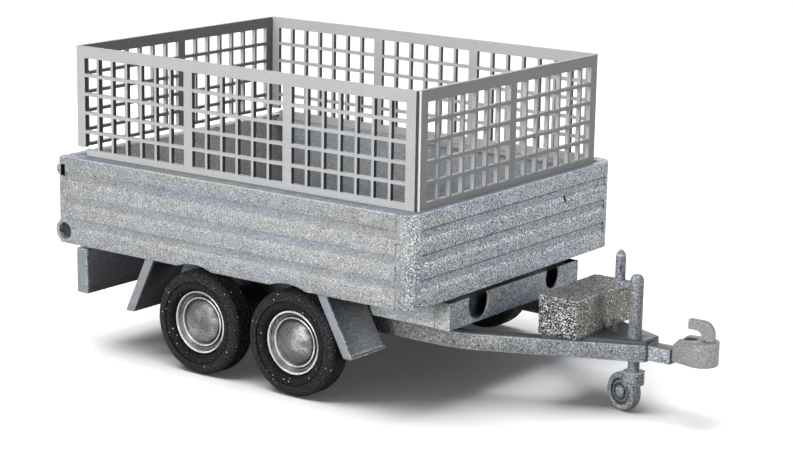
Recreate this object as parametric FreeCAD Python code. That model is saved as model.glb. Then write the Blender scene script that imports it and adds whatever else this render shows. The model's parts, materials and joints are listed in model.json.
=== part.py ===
import FreeCAD, Part
import math
import os

# A small twin-axle utility trailer, a 1:87 scale model with a mesh cage on its drop-side box.
# Millimetres. X points forward to the coupling, Y to the left, Z up from the floor.
# While it is built, X is 0 at the front wall's face. Every solid is then shifted
# so that the origin lies on the floor at the middle of the whole length and width.

# Box with its walls and floor
box_length = 25.95
box_width = 21.0
rim_z = 11.65
wall_bottom_z = 6.35
side_wall_t = 0.7
front_wall_t = 0.5
corner_r = 1.0
floor_bottom_z = 6.6
floor_t = 0.45

# Grooves pressed into the walls' outer faces: a sharp upper edge, a flat, and a bevel below.
# They end where a wall turns into its corner, and a little before its rear end.
band_top_h = 0.95
band_pitch = 1.39
groove_h = 0.48
bevel_h = 0.22
groove_depth = 0.1
groove_count = 3
groove_end = 0.5

# Flange along the top of the side walls, and the ledge inside it that the mesh cage stands on
rim_flange_w = 1.15
ledge_drop = 0.15
ledge_t = 0.3
ledge_w = 0.42

# Slot in the front wall
slot_y = 5.0
slot_z = 10.07
slot_w = 0.16
slot_h = 0.36
slot_depth = 0.25

# Tailgate with its pegs, and the hinge bosses and latches on the side walls
tailgate_t = 0.75
tailgate_side_gap = 0.08
tailgate_floor_gap = 0.1
pivot_z = 7.1
peg_r = 0.42
peg_clearance = 0.08
peg_recess = 0.2
boss_r = 0.74
latch_z = 10.82
latch_r = 0.36
latch_set_in = 0.15
latch_slot_w = 0.35
latch_slot_h = 0.7
latch_slot_depth = 0.3
latch_slot_inset = 0.12

# Mesh cage: the end panels stand between the side panels and a little proud of their ends
mesh_t = 0.27
mesh_h = 6.66
mesh_side_gap = 0.09
mesh_front_gap = 0.05
mesh_rear_inset = 0.2
mesh_proud = 0.15
mesh_top_rail = 0.685
mesh_low_rail = 0.5
mesh_stile = 0.66
mesh_bar = 0.2
mesh_rows = 5
mesh_side_bays = (7, 6, 7)
mesh_end_bays = (7, 7)

# The rear panel hangs between the side panels' ears, above the tailgate's rim
mesh_rear_gap = 0.35
mesh_ear_gap = 0.45
mesh_tailgate_gap = 0.3

# Wheels and axles
tyre_r = 3.08
tyre_w = 1.7
tyre_inset = 0.2
tyre_shoulder = 0.4
shoulder_round = 0.3
tyre_hole_r = 1.95
tyre_lip_r = 2.12
tyre_lip_depth = 0.3
tyre_groove_r = 2.45
tyre_groove_w = 0.12
tyre_groove_depth = 0.06
axle_front_x = -8.42
wheelbase = 6.9
rim_inset = 0.33
rim_w = 1.1
flange_r = 1.85
flange_w = 0.16
flange_root = 0.22
dish_depth = 0.2
ring_r = 1.46
ring_w = 0.1
ring_gap = 0.06
dome_r = 1.3
dome_h = 0.42
dome_step_deg = 10
axle_r = 0.35
axle_clearance = 0.06
axle_in_rim = 0.55
axle_beam_len = 1.2
axle_beam_bottom_z = 2.55
axle_beam_gap = 0.4
wheel_notch_gap = 0.25

# Chassis; the light board and the mudguards stand in from the box's sides by one inset
under_inset = 0.4
rail_out_y = 5.15
rail_w = 0.95
rail_bottom_z = 4.05
bolster_half_w = 6.7
bolster_t = 1.0
bolster_bottom_z = 4.55
bolster_top_z = 6.1
skirt_t = 0.8
skirt_length = 4.5
bolster_wall = 0.16
recess_y = 3.85
recess_z = 5.66
recess_right_r = 1.0
recess_left_r = 0.75
light_board_t = 0.9
light_board_top_z = 6.1
light_board_bottom_z = 3.3
light_board_gap = 0.15

# Mudguards: a sloped flap before and behind each pair of wheels, joined under the floor
guard_w = 3.2
guard_top_t = 0.2
guard_wall_gap = 0.05
guard_foot_z = 2.85
front_flap_top_x = -6.7
front_flap_foot_x = -4.75
rear_flap_top_x = -18.75
rear_flap_foot_x = -20.4
front_flap_t = 0.45
rear_flap_t = 0.6
lip_h = 0.12
lip_w = 0.22

# Drawbar
beam_bottom_z = 3.1
beam_rear_x = -7.0
bend_x = -0.47
bend_r = 6.0
head_rear_x = 6.5
head_front_x = 9.0
head_tip_half_w = 0.76
tube_end_x = 10.4
tube_half_w = 0.5
tube_drop = 0.05
neck_r = 0.34
plate_rear_x = 3.7
plate_t = 0.25
plate_inset = 0.05
stud_x = 6.55
stud_r = 0.14
stud_h = 0.7

# Toolbox across the drawbar
tool_box_rear_x = 3.3
tool_box_front_x = 6.0
tool_box_half_w = 3.12
tool_box_h = 2.26
tool_box_edge_r = 0.35

# Jockey wheel with its post and crank
post_x = 8.15
post_y = -0.5
post_r = 0.38
stem_r = 0.33
post_top_z = 7.95
stem_bottom_z = 2.4
crank_x = 7.07
crank_r = 0.29
crank_top_z = 9.17
crank_point_h = 0.3
crank_point_r = 0.09
arm_z = 7.2
arm_r = 0.24
fork_r = 0.62
fork_h = 0.75
fork_leg_t = 0.22
fork_leg_r = 0.3
jockey_r = 1.1
jockey_w = 0.72
jockey_trail = 0.7
jockey_turn_deg = -18.0
jockey_pin_r = 0.18
jockey_gap = 0.06
jockey_edge_r = 0.2
jockey_dish_r = 0.62
jockey_dish_depth = 0.1
jockey_hub_r = 0.36

# Coupling head and its lever
coupling_x = 12.05
coupling_r = 0.95
coupling_rear_x = 10.55
coupling_rear_half_w = 0.6
coupling_bottom_z = 3.4
coupling_top_z = 4.75
coupling_shoulder = 0.4
socket_r = 0.5
socket_depth = 0.8
cup_x = 11.3
cup_r = 0.45
cup_depth = 0.4
lever_half_w = 0.2
lever_h = 1.12
lever_reach = 1.78
lever_bar_h = 0.58
lever_base_w = 0.72
lever_set_back = 0.21
lever_rise = 0.4
lever_inner_r = 0.35

# Places that follow from the sizes above
over = 1.0  # how far a cutting solid reaches past what it cuts
half_w = box_width / 2
box_rear_x = -box_length
inner_y = half_w - side_wall_t
inner_front_x = -front_wall_t
floor_top_z = floor_bottom_z + floor_t
tailgate_front_x = box_rear_x + tailgate_t
pivot_x = box_rear_x + tailgate_t / 2
hinge_hole_r = peg_r + peg_clearance
axle_z = tyre_r
axle_rear_x = axle_front_x - wheelbase
flange_in_y = half_w - rim_flange_w
ledge_top_z = rim_z - ledge_drop
ledge_bottom_z = ledge_top_z - ledge_t
ledge_in_y = flange_in_y - ledge_w
mesh_half_w = flange_in_y - mesh_side_gap
mesh_end_half_w = mesh_half_w - mesh_t
mesh_top_z = ledge_top_z + mesh_h
mesh_front_x = inner_front_x - mesh_front_gap
mesh_rear_x = box_rear_x + mesh_rear_inset
mesh_rear_z = rim_z + mesh_rear_gap
mesh_ear_z = rim_z + mesh_ear_gap
mesh_foot_x = tailgate_front_x + mesh_tailgate_gap
tyre_out_y = half_w - tyre_inset
axle_beam_half_w = tyre_out_y - tyre_w - axle_beam_gap
light_board_half_w = half_w - under_inset
guard_out_y = half_w - under_inset
guard_in_y = guard_out_y - guard_w
light_board_rear_x = tailgate_front_x + light_board_gap
light_board_front_x = light_board_rear_x + light_board_t
rail_in_y = rail_out_y - rail_w
beam_top_z = rail_bottom_z
plate_top_z = beam_top_z + plate_t
coupling_tip_x = coupling_x + coupling_r
tail_x = min(pivot_x - boss_r, box_rear_x - latch_r)
origin_x = (coupling_tip_x + tail_x) / 2

X_AXIS = FreeCAD.Vector(1, 0, 0)
Y_AXIS = FreeCAD.Vector(0, 1, 0)
Z_AXIS = FreeCAD.Vector(0, 0, 1)


def vec(x, y, z):
    return FreeCAD.Vector(x, y, z)


def block(x0, x1, y0, y1, z0, z1):
    return Part.makeBox(x1 - x0, y1 - y0, z1 - z0, vec(x0, y0, z0))


def rod_x(y, z, r, x0, x1):
    return Part.makeCylinder(r, x1 - x0, vec(x0, y, z), X_AXIS)


def rod_y(x, z, r, y0, y1):
    return Part.makeCylinder(r, y1 - y0, vec(x, y0, z), Y_AXIS)


def rod_z(x, y, r, z0, z1):
    return Part.makeCylinder(r, z1 - z0, vec(x, y, z0), Z_AXIS)


def mirror_y(shape):
    return shape.mirror(vec(0, 0, 0), Y_AXIS)


def prism(points, direction):
    face = Part.Face(Part.makePolygon(points + points[:1]))
    return face.extrude(direction)


def prism_y(xz, y0, y1):
    return prism([vec(x, y0, z) for x, z in xz], vec(0, y1 - y0, 0))


def prism_z(xy, z0, z1):
    return prism([vec(x, y, z0) for x, y in xy], vec(0, 0, z1 - z0))


def turned_y(rz, x, z):
    # Solid of revolution about an axis along Y; rz holds (radius, y) pairs of its half section.
    points = [vec(x + r, y, z) for r, y in rz]
    face = Part.Face(Part.makePolygon(points + points[:1]))
    return face.revolve(vec(x, 0, z), Y_AXIS, 360)


# Box

def box_outline():
    y = half_w
    r = corner_r
    s = r * math.sqrt(0.5)
    z = wall_bottom_z
    right = vec(-r, -y + r, z)
    left = vec(-r, y - r, z)
    edges = [
        Part.LineSegment(vec(box_rear_x, -y, z), vec(-r, -y, z)),
        Part.Arc(vec(-r, -y, z), right + vec(s, -s, 0), vec(0, -y + r, z)),
        Part.LineSegment(vec(0, -y + r, z), vec(0, y - r, z)),
        Part.Arc(vec(0, y - r, z), left + vec(s, s, 0), vec(-r, y, z)),
        Part.LineSegment(vec(-r, y, z), vec(box_rear_x, y, z)),
        Part.LineSegment(vec(box_rear_x, y, z), vec(box_rear_x, -y, z)),
    ]
    return Part.Wire([e.toShape() for e in edges])


def box_shell():
    # The four walls' outer form, open at the rear, before it is parted into walls
    full = Part.Face(box_outline()).extrude(vec(0, 0, rim_z - wall_bottom_z))
    inside = block(box_rear_x - over, inner_front_x, -inner_y, inner_y, wall_bottom_z - over, rim_z + over)
    return full.cut(inside)


def groove_sections():
    # (depth, height) corners of each groove, with the depth measured inwards from a wall's face
    sections = []
    for k in range(groove_count):
        top = rim_z - band_top_h - k * band_pitch
        low = top - groove_h
        foot = low - bevel_h
        sections.append([(-over, top), (groove_depth, top), (groove_depth, low), (0, foot), (-over, foot)])
    return sections


def side_grooves():
    run = box_length - corner_r - groove_end
    x = box_rear_x + groove_end
    grooves = []
    for section in groove_sections():
        grooves.append(prism([vec(x, -half_w + depth, z) for depth, z in section], vec(run, 0, 0)))
    return grooves


def cross_grooves(face_x, inward, half_length):
    # Grooves across the front wall or the tailgate; inward is the X direction into the wall.
    grooves = []
    for section in groove_sections():
        outline = [(face_x + inward * depth, z) for depth, z in section]
        grooves.append(prism_y(outline, -half_length, half_length))
    return grooves


def side_rim(x0, x1):
    # The right wall's inward flange, level with the rim, and the lower ledge inside it
    flange = block(x0, x1, -inner_y, -flange_in_y, ledge_bottom_z, rim_z)
    ledge = block(x0, x1, -flange_in_y, -ledge_in_y, ledge_bottom_z, ledge_top_z)
    return flange.fuse(ledge)


def wheel_notch(x):
    # The tyre's top stands in a shallow notch in the wall's lower edge.
    r = wall_bottom_z - axle_z + wheel_notch_gap
    return rod_y(x, axle_z, r, -half_w - over, -inner_y + over)


def side_wall_right(shell):
    wall = shell.common(block(box_rear_x - over, -corner_r, -half_w - over, 0, 0, rim_z + over))
    wall = wall.cut(Part.makeCompound(side_grooves()))
    boss = rod_y(pivot_x, pivot_z, boss_r, -half_w, -inner_y)
    latch = rod_y(box_rear_x, latch_z, latch_r, -half_w + latch_set_in, -inner_y)
    rim_rear_x = tailgate_front_x + tailgate_floor_gap
    wall = wall.multiFuse([boss, latch, side_rim(rim_rear_x, -corner_r)]).removeSplitter()
    hole = rod_y(pivot_x, pivot_z, hinge_hole_r, -half_w - over, -inner_y + over)
    slot_x = box_rear_x + latch_slot_inset
    slot_z0 = latch_z - latch_slot_h / 2
    slot = block(slot_x, slot_x + latch_slot_w, -half_w - over, -half_w + latch_slot_depth,
                 slot_z0, slot_z0 + latch_slot_h)
    cuts = [hole, slot, wheel_notch(axle_front_x), wheel_notch(axle_rear_x)]
    return wall.cut(Part.makeCompound(cuts))


def front_wall(shell):
    wall = shell.common(block(-corner_r, over, -half_w - over, half_w + over, 0, rim_z + over))
    wall = wall.cut(Part.makeCompound(cross_grooves(0, -1, half_w - corner_r)))
    corner = side_rim(-corner_r, inner_front_x)
    ledge = block(-corner_r, inner_front_x, -ledge_in_y, ledge_in_y, ledge_bottom_z, ledge_top_z)
    slot = block(-slot_depth, over, slot_y - slot_w / 2, slot_y + slot_w / 2,
                 slot_z - slot_h / 2, slot_z + slot_h / 2)
    return wall.multiFuse([corner, mirror_y(corner), ledge]).removeSplitter().cut(slot)


def bed_floor():
    rear = tailgate_front_x + tailgate_floor_gap
    return block(rear, inner_front_x, -inner_y, inner_y, floor_bottom_z, floor_top_z)


def tailgate():
    y = inner_y - tailgate_side_gap
    board = block(box_rear_x, tailgate_front_x, -y, y, pivot_z, rim_z)
    board = board.cut(Part.makeCompound(cross_grooves(box_rear_x, 1, y - groove_end)))
    barrel = rod_y(pivot_x, pivot_z, tailgate_t / 2, -y, y)
    pegs = rod_y(pivot_x, pivot_z, peg_r, -half_w + peg_recess, half_w - peg_recess)
    return board.multiFuse([barrel, pegs]).removeSplitter()


# Mesh cage

def bay_holes(start, end, bays):
    # Left edges of the holes and their width, for bays parted by stiles between two end stiles
    bars = sum(n - 1 for n in bays)
    stiles = len(bays) + 1
    hole = (end - start - stiles * mesh_stile - bars * mesh_bar) / sum(bays)
    edges = []
    at = start
    for n in bays:
        at += mesh_stile
        for k in range(n):
            edges.append(at)
            at += hole + mesh_bar
        at -= mesh_bar
    return edges, hole


def mesh_panel(start, end, bays, foot_z):
    # An upright panel in the XZ plane from x = start to x = end, with its face on y = 0
    columns, hole_w = bay_holes(start, end, bays)
    low = ledge_top_z + mesh_low_rail
    hole_h = (mesh_top_z - mesh_top_rail - low - (mesh_rows - 1) * mesh_bar) / mesh_rows
    outer = rectangle_wire(start, end, foot_z, mesh_top_z)
    holes = []
    for x in columns:
        for row in range(mesh_rows):
            z = low + row * (hole_h + mesh_bar)
            holes.append(rectangle_wire(x, x + hole_w, max(z, foot_z + mesh_bar), z + hole_h))
    face = Part.makeFace([outer] + holes, "Part::FaceMakerBullseye")
    return face.extrude(vec(0, mesh_t, 0))


def rectangle_wire(x0, x1, z0, z1):
    corners = [vec(x0, 0, z0), vec(x1, 0, z0), vec(x1, 0, z1), vec(x0, 0, z1)]
    return Part.makePolygon(corners + corners[:1])


def mesh_side_right():
    # The upper rear end reaches on over the tailgate as an ear.
    rear = mesh_rear_x + mesh_proud
    panel = mesh_panel(rear, mesh_front_x - mesh_proud, mesh_side_bays, ledge_top_z)
    notch = block(rear - over, mesh_foot_x, -over, over, 0, mesh_ear_z)
    panel = panel.cut(notch)
    panel.translate(vec(0, -mesh_half_w, 0))
    return panel


def mesh_end(rear_x, foot_z):
    panel = mesh_panel(-mesh_end_half_w, mesh_end_half_w, mesh_end_bays, foot_z)
    panel.rotate(vec(0, 0, 0), Z_AXIS, 90)
    panel.translate(vec(rear_x + mesh_t, 0, 0))
    return panel


# Wheels and axles

def tyre(x, side):
    out, r, s = tyre_out_y, tyre_r, tyre_shoulder
    c = shoulder_round * s
    inner = out - tyre_w
    g0 = tyre_groove_r - tyre_groove_w / 2
    g1 = tyre_groove_r + tyre_groove_w / 2
    face_y = out
    section = [
        (tyre_hole_r, inner), (r - s, inner), (r - c, inner + c), (r, inner + s),
        (r, out - s), (r - c, out - c), (r - s, face_y),
        (g1, face_y), (tyre_groove_r, face_y - tyre_groove_depth), (g0, face_y),
        (tyre_lip_r, face_y), (tyre_hole_r, face_y - tyre_lip_depth),
    ]
    shape = turned_y(section, x, axle_z)
    return shape if side > 0 else mirror_y(shape)


def rim(x, side):
    face_y = tyre_out_y - rim_inset
    back_y = face_y - rim_w
    dish_y = face_y - dish_depth
    dome = [
        (dome_r * math.cos(a), dish_y + dome_h * math.sin(a))
        for a in [math.radians(deg) for deg in range(dome_step_deg, 90, dome_step_deg)]
    ]
    section = [
        (0, back_y), (tyre_hole_r, back_y), (tyre_hole_r, face_y - flange_w), (flange_r, face_y),
        (flange_r - flange_w, face_y), (flange_r - flange_root, dish_y),
        (ring_r, dish_y), (ring_r - ring_w / 2, dish_y + ring_w), (ring_r - ring_w, dish_y),
        (dome_r + ring_gap / 2, dish_y - ring_gap), (dome_r, dish_y),
    ] + dome + [(0, dish_y + dome_h)]
    disc = turned_y(section, x, axle_z)
    bore_end = back_y + axle_in_rim + axle_clearance
    shape = disc.cut(rod_y(x, axle_z, axle_r + axle_clearance, back_y - over, bore_end))
    return shape if side > 0 else mirror_y(shape)


def axle_end_y():
    return tyre_out_y - rim_inset - rim_w + axle_in_rim


def axle_rod(x):
    return rod_y(x, axle_z, axle_r, -axle_end_y(), axle_end_y())


def axle_beam(x):
    y = axle_beam_half_w
    beam = block(x - axle_beam_len, x + axle_beam_len, -y, y, axle_beam_bottom_z, rail_bottom_z)
    return beam.cut(axle_rod(x))


# Chassis

def frame_rail():
    return block(light_board_front_x, -bolster_t, -rail_out_y, -rail_in_y, rail_bottom_z, floor_bottom_z)


def front_bolster():
    # A trough, open at its top, whose front wall has two round openings that cut its top edge
    t = bolster_wall
    beam = block(-bolster_t, 0, -bolster_half_w, bolster_half_w, bolster_bottom_z, bolster_top_z)
    trough = block(-bolster_t + t, -t, -bolster_half_w + t, bolster_half_w - t,
                   bolster_bottom_z + t, bolster_top_z + over)
    holes = [rod_x(y, recess_z, r, -bolster_t / 2, over)
             for y, r in ((-recess_y, recess_right_r), (recess_y, recess_left_r))]
    return beam.cut(trough.multiFuse(holes))


def frame_skirt():
    x1 = -bolster_t
    return block(x1 - skirt_length, x1, -bolster_half_w, -bolster_half_w + skirt_t,
                 bolster_bottom_z, bolster_top_z)


def light_board():
    return block(light_board_rear_x, light_board_front_x, -light_board_half_w, light_board_half_w,
                 light_board_bottom_z, light_board_top_z)


def flap(top_x, foot_x, away, top_z, thick):
    # A sloped plate in section; away is +1 for a flap whose outer side faces forward.
    run = foot_x - top_x
    drop = top_z - guard_foot_z
    across = thick * math.hypot(run, drop) / drop
    return [(top_x, top_z), (top_x + away * across, top_z), (foot_x + away * across, guard_foot_z),
            (foot_x, guard_foot_z)]


def mudguard():
    low = floor_bottom_z - guard_top_t
    front = flap(front_flap_top_x, front_flap_foot_x, 1, wall_bottom_z, front_flap_t)
    rear = flap(rear_flap_top_x, rear_flap_foot_x, -1, wall_bottom_z, rear_flap_t)
    y0, y1 = -guard_out_y, -guard_in_y
    plates = [prism_y(front, y0, y1), prism_y(rear, y0, y1)]
    wall_y = -inner_y + guard_wall_gap
    for section in (front, rear):
        (xa, _), (xb, _) = section[:2]
        plates.append(block(min(xa, xb), max(xa, xb), wall_y, y1, wall_bottom_z, floor_bottom_z))
    plates.append(block(rear[0][0], front[0][0], wall_y, y1, low, floor_bottom_z))
    plates += flap_lips(front, y0, y1)
    return plates[0].multiFuse(plates[1:]).removeSplitter()


def flap_lips(section, y0, y1):
    # Raised lips along the outer edge and the foot of the front flap
    (_, _), (xa, za), (xb, zb), (_, _) = section
    length = math.hypot(xb - xa, zb - za)
    ux, uz = (xb - xa) / length, (zb - za) / length
    nx, nz = -uz, ux
    side = [(xa, za), (xa + nx * lip_h, za + nz * lip_h), (xb + nx * lip_h, zb + nz * lip_h), (xb, zb)]
    foot = [(xb - ux * lip_w, zb - uz * lip_w), (xb - ux * lip_w + nx * lip_h, zb - uz * lip_w + nz * lip_h),
            (xb + nx * lip_h, zb + nz * lip_h), (xb, zb)]
    return [prism_y(side, y0, y0 + lip_w), prism_y(foot, y0, y1)]


# Drawbar

def beam_slope():
    return (rail_out_y - head_tip_half_w) / (head_front_x - bend_x)


def beam_half_w(x):
    return rail_out_y - beam_slope() * (x - bend_x)


def beam_edge(offset):
    # Plan edge of a drawbar beam on the right side, offset inwards from its outer face
    angle = math.atan(beam_slope())
    y = -rail_out_y + offset
    r = bend_r - offset
    centre = vec(bend_x - bend_r * math.tan(angle / 2), -rail_out_y + bend_r, beam_bottom_z)
    start = vec(centre.x, y, beam_bottom_z)
    middle = centre + vec(r * math.sin(angle / 2), -r * math.cos(angle / 2), 0)
    end = centre + vec(r * math.sin(angle), -r * math.cos(angle), 0)
    along = vec(math.cos(angle), math.sin(angle), 0)
    tip = end + along * ((head_rear_x - end.x) / along.x)
    return start, middle, end, tip


def drawbar_beam():
    o_start, o_middle, o_end, o_tip = beam_edge(0)
    i_start, i_middle, i_end, i_tip = beam_edge(rail_w)
    o_rear = vec(beam_rear_x, o_start.y, beam_bottom_z)
    i_rear = vec(beam_rear_x, i_start.y, beam_bottom_z)
    edges = [
        Part.LineSegment(o_rear, o_start), Part.Arc(o_start, o_middle, o_end), Part.LineSegment(o_end, o_tip),
        Part.LineSegment(o_tip, i_tip), Part.LineSegment(i_tip, i_end), Part.Arc(i_end, i_middle, i_start),
        Part.LineSegment(i_start, i_rear), Part.LineSegment(i_rear, o_rear),
    ]
    face = Part.Face(Part.Wire([e.toShape() for e in edges]))
    return face.extrude(vec(0, 0, beam_top_z - beam_bottom_z))


def drawbar_head():
    y = beam_half_w(head_rear_x)
    tip = head_tip_half_w
    plan = [(head_rear_x, -y), (head_front_x, -tip), (head_front_x, tip), (head_rear_x, y)]
    head = prism_z(plan, beam_bottom_z, beam_top_z)
    tube = block(head_front_x, tube_end_x, -tube_half_w, tube_half_w,
                 beam_bottom_z + tube_drop, beam_top_z - tube_drop)
    neck_z = (beam_bottom_z + beam_top_z) / 2
    neck = rod_x(0, neck_z, neck_r, tube_end_x, coupling_rear_x)
    shape = head.multiFuse([tube, neck]).removeSplitter()
    return shape.cut(rod_z(post_x, post_y, stem_r, 0, beam_top_z + over))


def drawbar_plate():
    y0 = beam_half_w(plate_rear_x) - plate_inset
    y1 = beam_half_w(head_front_x) - plate_inset
    plan = [(plate_rear_x, -y0), (head_front_x, -y1), (head_front_x, y1), (plate_rear_x, y0)]
    plate = prism_z(plan, beam_top_z, plate_top_z)
    stud = rod_z(stud_x, 0, stud_r, plate_top_z, plate_top_z + stud_h)
    return plate.fuse(stud).cut(rod_z(post_x, post_y, stem_r, 0, plate_top_z + over))


def tool_box():
    shape = block(tool_box_rear_x, tool_box_front_x, -tool_box_half_w, tool_box_half_w,
                  plate_top_z, plate_top_z + tool_box_h)
    return shape.makeFillet(tool_box_edge_r, [e for e in shape.Edges if not on_level(e, plate_top_z)])


def on_level(edge, z):
    return all(abs(v.Z - z) < 1e-6 for v in edge.Vertexes)


# Jockey wheel

def jockey_post():
    stem = rod_z(post_x, post_y, stem_r, stem_bottom_z, plate_top_z)
    post = rod_z(post_x, post_y, post_r, plate_top_z, post_top_z - post_r)
    cap = Part.makeSphere(post_r, vec(post_x, post_y, post_top_z - post_r))
    return stem.multiFuse([post, cap]).removeSplitter()


def jockey_crank():
    point_z = crank_top_z - crank_point_h
    shaft = rod_z(crank_x, post_y, crank_r, arm_z - arm_r, point_z)
    point = Part.makeCone(crank_r, crank_point_r, crank_point_h, vec(crank_x, post_y, point_z))
    arm = rod_x(post_y, arm_z, arm_r, crank_x, post_x)
    shape = shaft.multiFuse([point, arm]).removeSplitter()
    return shape.cut(rod_z(post_x, post_y, post_r, 0, post_top_z))


def place_jockey(shape):
    # The wheel trails behind the post and is turned a little about it.
    shape.rotate(vec(post_x, post_y, 0), Z_AXIS, jockey_turn_deg)
    return shape


def jockey_wheel_x():
    return post_x - jockey_trail


def jockey_wheel_envelope(gap):
    y = post_y - jockey_w / 2
    return rod_y(jockey_wheel_x(), jockey_r, jockey_r + gap, y - gap, y + jockey_w + gap)


def jockey_fork():
    # A round crown under the stem, and one leg on the far side that holds the wheel's pin
    crown = rod_z(post_x, post_y, fork_r, stem_bottom_z - fork_h, stem_bottom_z)
    leg_y = post_y + jockey_w / 2 + jockey_gap
    x = jockey_wheel_x()
    leg = prism_y([(x - fork_leg_r, jockey_r - fork_leg_r), (x + fork_leg_r, jockey_r - fork_leg_r),
                   (post_x + fork_leg_r, stem_bottom_z), (post_x - fork_leg_r, stem_bottom_z)],
                  leg_y, leg_y + fork_leg_t)
    crown = crown.cut(jockey_wheel_envelope(jockey_gap))
    pin = rod_y(x, jockey_r, jockey_pin_r, post_y - jockey_w / 2, leg_y)
    return place_jockey(crown.multiFuse([leg, pin]).removeSplitter())


def jockey_wheel():
    y0 = post_y - jockey_w / 2
    y1 = y0 + jockey_w
    r, e = jockey_r, jockey_edge_r
    c = shoulder_round * e
    section = [
        (jockey_pin_r, y0), (jockey_hub_r, y0), (jockey_hub_r, y0 + jockey_dish_depth),
        (jockey_dish_r, y0 + jockey_dish_depth), (jockey_dish_r, y0), (r - e, y0),
        (r - c, y0 + c), (r, y0 + e), (r, y1 - e), (r - c, y1 - c), (r - e, y1),
        (jockey_pin_r, y1),
    ]
    return place_jockey(turned_y(section, jockey_wheel_x(), jockey_r))


# Coupling

def coupling_head():
    z0, z1 = coupling_bottom_z, coupling_top_z
    round_part = rod_z(coupling_x, 0, coupling_r, z0, z1)
    w = coupling_rear_half_w
    plan = [(coupling_rear_x, -w), (coupling_x, -coupling_r), (coupling_x, coupling_r), (coupling_rear_x, w)]
    shape = prism_z(plan, z0, z1).fuse(round_part).removeSplitter()
    s = coupling_shoulder
    x0 = coupling_rear_x - over
    shoulder = prism_y([(x0, z1 - s), (coupling_rear_x, z1 - s), (coupling_rear_x + s, z1),
                        (coupling_rear_x + s, z1 + over), (x0, z1 + over)], -coupling_r, coupling_r)
    socket = rod_z(coupling_x, 0, socket_r, z0 - over, z0 + socket_depth)
    cup = rod_z(cup_x, 0, cup_r, z1 - cup_depth, z1 + over)
    return shape.cut(shoulder.multiFuse([socket, cup]))


def coupling_lever():
    # A hooked handle: it rises from the head's front edge and curls back over the cup.
    x1 = coupling_tip_x - lever_set_back
    x0 = x1 - lever_base_w
    z0, z1 = coupling_top_z, coupling_top_z + lever_h
    low = z1 - lever_bar_h
    r_out = z1 - z0 - lever_rise
    c_out = vec(x1 - r_out, 0, z1 - r_out)
    r_in = lever_inner_r
    c_in = vec(x0 - r_in, 0, low - r_in)
    s = math.sqrt(0.5)
    tip = coupling_tip_x - lever_reach
    edges = [
        Part.LineSegment(vec(x0, 0, z0), vec(x1, 0, z0)),
        Part.LineSegment(vec(x1, 0, z0), vec(x1, 0, c_out.z)),
        Part.Arc(vec(x1, 0, c_out.z), c_out + vec(r_out * s, 0, r_out * s), vec(c_out.x, 0, z1)),
        Part.LineSegment(vec(c_out.x, 0, z1), vec(tip, 0, z1)),
        Part.LineSegment(vec(tip, 0, z1), vec(tip, 0, low)),
        Part.LineSegment(vec(tip, 0, low), vec(c_in.x, 0, low)),
        Part.Arc(vec(c_in.x, 0, low), c_in + vec(r_in * s, 0, r_in * s), vec(x0, 0, c_in.z)),
        Part.LineSegment(vec(x0, 0, c_in.z), vec(x0, 0, z0)),
    ]
    face = Part.Face(Part.Wire([e.toShape() for e in edges]))
    face.translate(vec(0, -lever_half_w, 0))
    return face.extrude(vec(0, 2 * lever_half_w, 0))


def build():
    shell = box_shell()
    right_wall = side_wall_right(shell)
    mesh_side = mesh_side_right()
    nodes = {
        "bed_floor": bed_floor(),
        "side_wall_right": right_wall,
        "side_wall_left": mirror_y(right_wall),
        "front_wall": front_wall(shell),
        "tailgate": tailgate(),
        "mesh_side_right": mesh_side,
        "mesh_side_left": mirror_y(mesh_side),
        "mesh_front": mesh_end(mesh_front_x - mesh_t, ledge_top_z),
        "mesh_rear": mesh_end(mesh_rear_x, mesh_rear_z),
        "frame_rail_right": frame_rail(),
        "frame_rail_left": mirror_y(frame_rail()),
        "front_bolster": front_bolster(),
        "frame_skirt_right": frame_skirt(),
        "frame_skirt_left": mirror_y(frame_skirt()),
        "light_board": light_board(),
        "mudguard_right": mudguard(),
        "mudguard_left": mirror_y(mudguard()),
        "drawbar_beam_right": drawbar_beam(),
        "drawbar_beam_left": mirror_y(drawbar_beam()),
        "drawbar_head": drawbar_head(),
        "drawbar_plate": drawbar_plate(),
        "tool_box": tool_box(),
        "jockey_post": jockey_post(),
        "jockey_crank": jockey_crank(),
        "jockey_fork": jockey_fork(),
        "jockey_wheel": jockey_wheel(),
        "coupling_head": coupling_head(),
        "coupling_lever": coupling_lever(),
    }
    for end, x in (("front", axle_front_x), ("rear", axle_rear_x)):
        nodes["axle_beam_" + end] = axle_beam(x)
        nodes["axle_rod_" + end] = axle_rod(x)
        for side, sign in (("right", -1), ("left", 1)):
            nodes["tyre_" + end + "_" + side] = tyre(x, sign)
            nodes["rim_" + end + "_" + side] = rim(x, sign)
    return nodes


os.makedirs("parts", exist_ok=True)
for name, solid in build().items():
    solid.translate(vec(-origin_x, 0, 0))
    solid.exportStep("parts/" + name + ".step")
    state = "valid" if solid.isValid() else "NOT VALID"
    print(name, len(solid.Solids), "solid", round(solid.Volume, 4), "mm3", state)
print("joint places: pivot", round(pivot_x - origin_x, 4), pivot_z,
      "axles", round(axle_front_x - origin_x, 4), round(axle_rear_x - origin_x, 4), axle_z,
      "coupling", round(coupling_x - origin_x, 4), coupling_bottom_z)
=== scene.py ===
import json
import math

import bmesh
import bpy
from mathutils import Matrix, Vector, noise
from mathutils.bvhtree import BVHTree


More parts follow.
